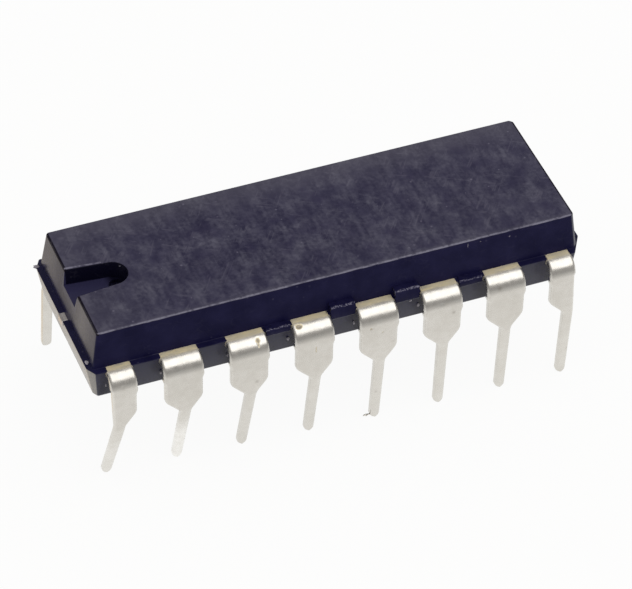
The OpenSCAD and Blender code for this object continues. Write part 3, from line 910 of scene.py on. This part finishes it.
def bent_strip(number):
    """The outer part of a lead: its cross-section carried along the line of its bends, from
    just inside the package to the tip, with the pin's middle line leaning sideways."""
    x, side, shift, fold, lean, splay = lead_facts(number)
    corner_lead = abs(x) > 3 * lead_pitch
    tip_drop = neck_z * math.cos(fold) * math.cos(lean)
    fold_drop = fold_radius * math.sin(fold)
    pin = (tip_drop - fold_drop) / math.cos(fold)
    tip = tip_width / 2 / math.cos(fold)
    bend, flat_steps, bend_steps = math.pi / 2 - splay, 8, 24
    distance, out, up, heading = stations(
        [
            (bend_y - inner_y, 0, flat_steps, False),
            ((bend_outer - lead_thick / 2) * bend, bend, bend_steps, False),
            (bend_z - neck_z, 0, 66, False),
            (fold_radius * fold, fold, 10, False),
            (pin - tip, 0, 24, False),
            (tip, 0, 12, True),
        ]
    )
    step = np.hypot(np.diff(out), np.diff(up))
    middle = (heading[1:] + heading[:-1]) / 2 + splay
    on_leg = flat_steps + bend_steps
    bent = np.arange(len(step)) >= on_leg
    drop = np.concatenate([[0], np.cumsum(step * np.sin(middle) * bent)])
    drop = np.where(np.arange(len(drop)) < on_leg, -0.5, drop)
    out_root = corner_reach + (root_width - leg_width) / 2 if corner_lead else root_width / 2
    out_leg = corner_reach if corner_lead else leg_width / 2
    out_half = edge_reach(drop, out_root, out_leg, tip_drop, shift)
    in_half = edge_reach(drop, root_width / 2, leg_width / 2, tip_drop, -shift)
    across, through = lead_section(out_half, in_half, 0.11, 0.02)
    wave = 0.006 * ripple(distance[:, None] + 0 * across, across, 100 + number)
    wide_enough = np.clip((out_half + in_half - 0.45) / 0.6, 0, 1)
    off_root = np.clip((distance - 0.6) / 0.3, 0, 1)
    wave = wave * (wide_enough * off_root)[:, None]
    through, worn = dented(number, distance, across, through + wave)
    across = across + math.tan(lean) * np.clip(drop - (bend_z - neck_z), 0, None)[:, None]
    reach = inner_y + out[:, None] + through * np.sin(heading)[:, None]
    height = frame_z - lead_thick / 2 + up[:, None] + through * np.cos(heading)[:, None]
    outer_sign = -1 if x < 0 else 1
    rings = points_of(outer_sign * (abs(x) + across), side * reach, height)
    points, faces = capped_tube(rings)
    if outer_sign * side > 0:
        faces = [face[::-1] for face in faces]
    run = (distance - (ledge_half[1] - inner_y))[:, None]
    return points, faces, (run - worn * (run + 0.5)).ravel()


def finger_outline(x):
    """Plan of a finger inside the package, drawn for the quarter outwards and behind the middle:
    a mitred ribbon from the package's side to its tip beside the paddle."""
    rank = round(abs(x) / lead_pitch + 0.5)
    out_half = corner_reach + (root_width - leg_width) / 2 if rank == 4 else root_width / 2
    middle = abs(x) + (out_half - root_width / 2) / 2
    tips = {4: (2.3, 0.625), 3: (2.3, 1.205), 2: (1.6, 1.7), 1: (0.5333, 1.7)}
    tip = np.array(tips[rank])
    turn_in = {
        4: [(middle, tip[1] + 0.9), (middle - 0.9, tip[1])],
        3: [tip + (0.6, 0)],
        2: [tip + (0.6, 0.15)],
        1: [tip + (0.15, 0.3)],
    }
    straight = [(middle, inner_y + step) for step in (0.1, 0, -0.3)]
    path = np.array([*straight, *turn_in[rank], tip])
    root = out_half + root_width / 2
    wide_steps = 2 if rank == 4 else 1
    widths = np.array([root, root] + [finger_width] * wide_steps + [fingertip_width] * 2)
    way = unit(np.diff(path, axis=0))
    arriving = np.concatenate([way[:1], way])
    leaving = np.concatenate([way, way[-1:]])
    heading = unit(arriving + leaving)
    mitre = 1 / (heading * leaving).sum(1)
    off = np.stack([-heading[:, 1], heading[:, 0]], 1) * (mitre * widths / 2)[:, None]
    return np.concatenate([path + off, (path - off)[::-1]])


def finger_plate(number):
    """The finger as a flat plate of the lead frame's thickness."""
    x, side, *_ = lead_facts(number)
    outline = finger_outline(x)
    outer_sign = -1 if x < 0 else 1
    plan = outline * (outer_sign, side)
    levels = np.array([frame_z - lead_thick, frame_z])[:, None]
    points, faces = capped_tube(points_of(*plan.T, levels))
    following = np.roll(outline, -1, 0)
    spun = np.sum(following[:, 1] * outline[:, 0] - following[:, 0] * outline[:, 1])
    if spun * outer_sign * side < 0:
        faces = [face[::-1] for face in faces]
    return points, faces, np.full(len(points), -0.6)


def build_tin_plate():
    """Matt tin over copper alloy: satin and slightly warm, straw coloured from the moulding at
    its root and dark where a mark wore it off, painted brighter on the pins at the notch end as
    a painted reflection of the white table, painted grey across the bend as a darker
    reflection, with soft blotches, forming marks across the strip and a few pits."""
    made, tree, surface = new_material("tin_plate", (0.66, 0.645, 0.61, 1), 1.0, 0.33)
    run = shader_node(tree, "Attribute", {}, attribute_name="along_lead").outputs["Fac"]
    patches = placed_effect(tree, soft_patches, size=0.0009, contrast=2.4, place=7.0)
    blotches = placed_effect(tree, soft_patches, size=0.00025, contrast=3.0, place=8.0)
    wiped = placed_effect(tree, fine_grain, size=0.00009, drawn=5.0)
    pits = placed_effect(tree, small_specks, size=0.0006, share=0.08)
    x, y, z = position(tree)
    # Painted reflection: the lower parts of the front pins at the notch end are made nearly white,
    # where they mirror the white table.
    painted_bright_pins = within(
        tree,
        (x, -5.4, -5.0, 0.85, 0.0),
        (x, -8.4, -7.6, 0.35, 1.0),
        (y, -0.1, 0.1, 1, 0),
        (z, 1.4, 2.8, 1, 0),
    )
    # Painted reflection: a grey band across the bend, darker than the flat leg.
    painted_grey_band = within(tree, (run, 0.05, 0.15, 0.0, 0.4), (run, 0.5, 0.8, 1, 0))
    root = within(tree, (run, -0.04, 0.12, 1, 0), (wiped, 0.3, 0.7, 0.6, 1.0))
    colour = layered(
        tree,
        blended(tree, patches, (0.65, 0.63, 0.585, 1), (0.71, 0.69, 0.65, 1)),
        (painted_bright_pins, (0.93, 0.92, 0.89, 1)),
        (painted_grey_band, (0.42, 0.41, 0.40, 1)),
        (product(tree, blotches, 0.25), (0.60, 0.56, 0.51, 1)),
        (root, (0.60, 0.51, 0.32, 1)),
        (eased(tree, run, -0.5, -0.1, 0.9, 0.0), (0.24, 0.21, 0.17, 1)),
        (product(tree, pits, 0.5), (0.30, 0.27, 0.24, 1)),
    )
    rough = worked_out(tree, "MULTIPLY_ADD", blotches, 0.12, 0.22)
    feed(
        tree,
        surface,
        base_color=colour,
        metallic=worked_out(tree, "MULTIPLY_ADD", root, -0.55, 1.0),
        roughness=worked_out(tree, "MULTIPLY_ADD", root, 0.3, rough),
    )
    raised_by(tree, surface, worked_out(tree, "MULTIPLY_ADD", blotches, 2.0, wiped), 0.0000012)
    return made


tin_plate = build_tin_plate()
burrs = {5: [crumb((0.98, -3.5, 0.1), (0.15, 0.04, 0.035), 17, 2.0)]}
for number in range(1, 2 * row_leads + 1):
    lead = new_object(
        f"formed_lead_{number}",
        *joined_forms([bent_strip(number), finger_plate(number)] + burrs.get(number, [])),
        mark_name="along_lead",
    )
    lead.data.materials.append(tin_plate)
    evenly_lit(lead, 50)
    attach(lead, "root")
    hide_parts(f"lead_{number}")


# The table is a wide white sheet that runs out of sight behind the chip. One broad soft lamp
# hangs above and in front of it, and the pale room gives the rest of the light.
def mixed_surface(tree, share, first, second):
    """A surface between two surfaces, by a share from 0 to 1."""
    return shader_node(tree, "MixShader", {0: share, 1: first, 2: second}).outputs[0]


def build_white_sheet():
    """White sheet: seen as white with its shadows kept faintly, and mirrored in the chip as a glow
    of painted light: white near it, grey further out and warmer beside the notch end, as in the
    photo."""
    made, tree, surface = new_material("white_sheet", (0.9, 0.9, 0.89, 1), 0.0, 0.9, 0.0)
    path = tree.nodes.new("ShaderNodeLightPath").outputs
    x, y, _ = position(tree)
    away = product(tree, worked_out(tree, "ABSOLUTE", y), 0.02)
    tone = shader_node(tree, "ValToRGB", {"Fac": away})
    stops = tone.color_ramp.elements
    stops[0].position, stops[0].color = 0.1, (1.0, 1.0, 0.99, 1)
    stops[1].position, stops[1].color = 1.0, (0.42, 0.42, 0.41, 1)
    for place, grey in ((0.17, 0.87), (0.3, 0.60)):
        stops.new(place).color = (grey, grey - 0.01, grey - 0.025, 1)
    # Painted light for mirror rays: a warm patch on the sheet beside the notch end.
    beside = within(tree, (x, -9.48, -9.3, 1, 0), (y, -0.5, 0.3))
    painted_warm_glow = blended(tree, beside, tone.outputs[0], (0.95, 0.86, 0.74, 1), "MULTIPLY")
    near, mirrored = (
        shader_node(tree, "Emission", {"Color": shown, "Strength": 1.0}).outputs[0]
        for shown in ((0.968, 0.968, 0.966, 1), painted_warm_glow)
    )
    mirror_share = product(tree, path["Is Glossy Ray"], 0.9)
    seen = highest(tree, path["Is Camera Ray"], path["Is Transmission Ray"])
    for_metal = mixed_surface(tree, mirror_share, surface.outputs[0], mirrored)
    shown = mixed_surface(tree, product(tree, seen, 0.97), for_metal, near)
    tree.links.new(shown, tree.nodes["Material Output"].inputs["Surface"])
    return made


def aim(piece, place, right, back):
    """Places a lamp or camera in metres: its right, and the way back from what it looks at."""
    turn = Matrix(np.stack([right, np.cross(back, right), back], 1).tolist()).to_4x4()
    piece.matrix_world = Matrix.Translation(place.tolist()) @ turn


far = 900
table = new_object(
    "table", [(-far, -far, 0), (far, -far, 0), (far, far, 0), (-far, far, 0)], [[0, 1, 2, 3]]
)
table.data.materials.append(build_white_sheet())
lamp = bpy.data.lights.new("overhead", "AREA")
lamp.shape, lamp.size, lamp.energy, lamp.color = "SQUARE", 0.2, 0.165, (1.0, 0.99, 0.97)
lamp_place = np.array([0.04, -0.06, 0.17])
back = unit(lamp_place)
aim(linked("overhead", lamp), lamp_place, unit(np.cross((0.0, 1.0, 0.02), back)), back)

world = bpy.data.worlds.new("studio")
world.use_nodes = True
bpy.context.scene.world = world
sky = world.node_tree
background = sky.nodes["Background"]
looking = sky.nodes.new("ShaderNodeTexCoord").outputs["Generated"]
direction = shader_node(sky, "SeparateXYZ", {0: looking})
climb = eased(sky, direction.outputs["Z"], 0.3, 0.8)
ahead = eased(sky, direction.outputs["Y"], -0.6, 0.6)
low_tone = blended(sky, ahead, (0.42, 0.41, 0.40, 1), (0.30, 0.29, 0.27, 1))
tone = blended(sky, climb, low_tone, (0.70, 0.69, 0.67, 1))
rays = sky.nodes.new("ShaderNodeLightPath").outputs
tone = blended(sky, rays["Is Glossy Ray"], (1.36, 1.35, 1.33, 1), tone)
sky.links.new(
    blended(sky, rays["Is Camera Ray"], tone, (0.985, 0.985, 0.982, 1)), background.inputs["Color"]
)

# The camera stands to the left of the front and well above, far off with a long lens.
image_width = 632
azimuth, elevation, roll = -0.3877, 0.74796, 0.02299
distance, shift_right, shift_up, rise = 143.68, 0.2975, 2.536, 0.07
focal_pixels = 3768.7

level_right = np.array([math.cos(azimuth), math.sin(azimuth), 0])
level_back = np.array([math.sin(azimuth), -math.cos(azimuth), 0])
back = level_back * math.cos(elevation) + np.array([0, 0, math.sin(elevation)])
level_up = np.cross(back, level_right)
right = math.cos(roll) * level_right + math.sin(roll) * level_up
up = math.cos(roll) * level_up - math.sin(roll) * level_right
eye = (back * distance + right * shift_right + up * shift_up + np.array([0, 0, rise])) * 0.001
lens = bpy.data.cameras.new("camera")
film_width = 36.0
lens.sensor_fit, lens.sensor_width = "HORIZONTAL", film_width
lens.lens = focal_pixels * film_width / image_width
lens.clip_start, lens.clip_end = 0.005, 10.0
camera = linked("camera", lens)
aim(camera, eye, right, back)
bpy.context.scene.camera = camera
bpy.context.scene.view_settings.view_transform = "Standard"
